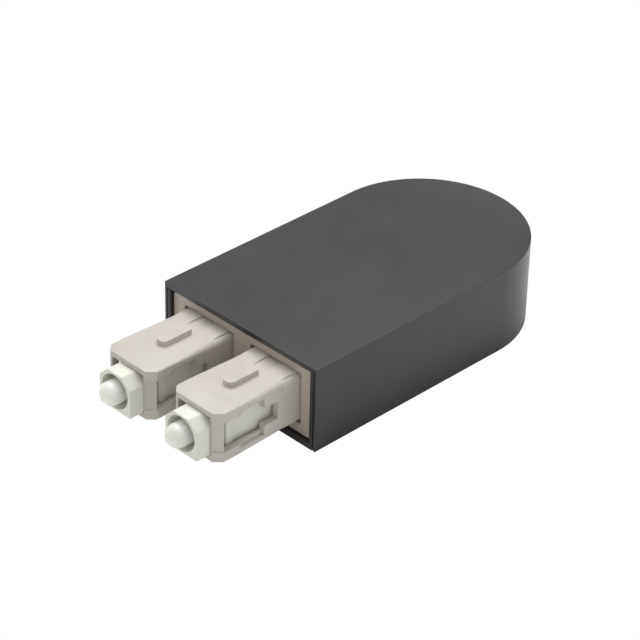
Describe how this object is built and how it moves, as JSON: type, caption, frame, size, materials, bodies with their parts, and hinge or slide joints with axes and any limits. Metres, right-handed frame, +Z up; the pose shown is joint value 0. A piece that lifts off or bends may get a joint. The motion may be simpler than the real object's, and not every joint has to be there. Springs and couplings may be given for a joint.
{
  "type": "fibre optic loopback plug",
  "caption": "D-shaped closed shell with push-in fibre connectors side by side at its mouth, each with a sliding plug frame, a sprung ferrule and a pull-off dust cap.",
  "frame": {"origin": "centre of the shell's round end, on the underside", "axes": "+Y from the mouth towards the round end, +X to the right seen from the mouth, +Z up"},
  "size_m": [0.0288, 0.067, 0.0127],
  "materials": {
    "black_plastic": "satin moulded ABS",
    "plate_beige": "fine matt",
    "housing_beige": "satin moulded",
    "frame_white": "satin moulded",
    "zirconia": "polished ceramic",
    "nickel": "nickel plated",
    "spring_steel": "drawn wire",
    "boot_rubber": "matt",
    "cap_plastic": "milky, slightly see-through",
    "fibre_buffer": "smooth buffer"
  },
  "bodies": {
    "shell": {"base_shell": "black_plastic", "cover": "black_plastic", "front_plate": "plate_beige", "outer_housing_left": "housing_beige", "outer_housing_right": "housing_beige", "fibre_loop": "fibre_buffer"},
    "plug_left": {"plug_frame_left": "frame_white", "rear_body_left": "nickel", "boot_left": "boot_rubber", "ferrule_spring_left": "spring_steel"},
    "plug_right": {"plug_frame_right": "frame_white", "rear_body_right": "nickel", "boot_right": "boot_rubber", "ferrule_spring_right": "spring_steel"},
    "ferrule_unit_left": {"ferrule_left": "zirconia", "ferrule_flange_left": "nickel"},
    "ferrule_unit_right": {"ferrule_right": "zirconia", "ferrule_flange_right": "nickel"},
    "cap_left": {"dust_cap_left": "cap_plastic"},
    "cap_right": {"dust_cap_right": "cap_plastic"}
  },
  "joints": [
    {"name": "plug_left_float", "type": "slide", "parent": "shell", "child": "plug_left", "axis": [0, -1, 0], "range_m": [-0.001, 0.001]},
    {"name": "plug_right_float", "type": "slide", "parent": "shell", "child": "plug_right", "axis": [0, -1, 0], "range_m": [-0.001, 0.001]},
    {"name": "ferrule_left_press", "type": "slide", "parent": "plug_left", "child": "ferrule_unit_left", "axis": [0, 1, 0], "range_m": [0, 0.001], "stiffness_N_per_m": 1000, "springref_m": -0.005, "deforming": ["ferrule_spring_left"]},
    {"name": "ferrule_right_press", "type": "slide", "parent": "plug_right", "child": "ferrule_unit_right", "axis": [0, 1, 0], "range_m": [0, 0.001], "stiffness_N_per_m": 1000, "springref_m": -0.005, "deforming": ["ferrule_spring_right"]},
    {"name": "cap_left_pull", "type": "slide", "parent": "ferrule_unit_left", "child": "cap_left", "axis": [0, -1, 0], "range_m": [0, 0.012]},
    {"name": "cap_right_pull", "type": "slide", "parent": "ferrule_unit_right", "child": "cap_right", "axis": [0, -1, 0], "range_m": [0, 0.012]}
  ]
}
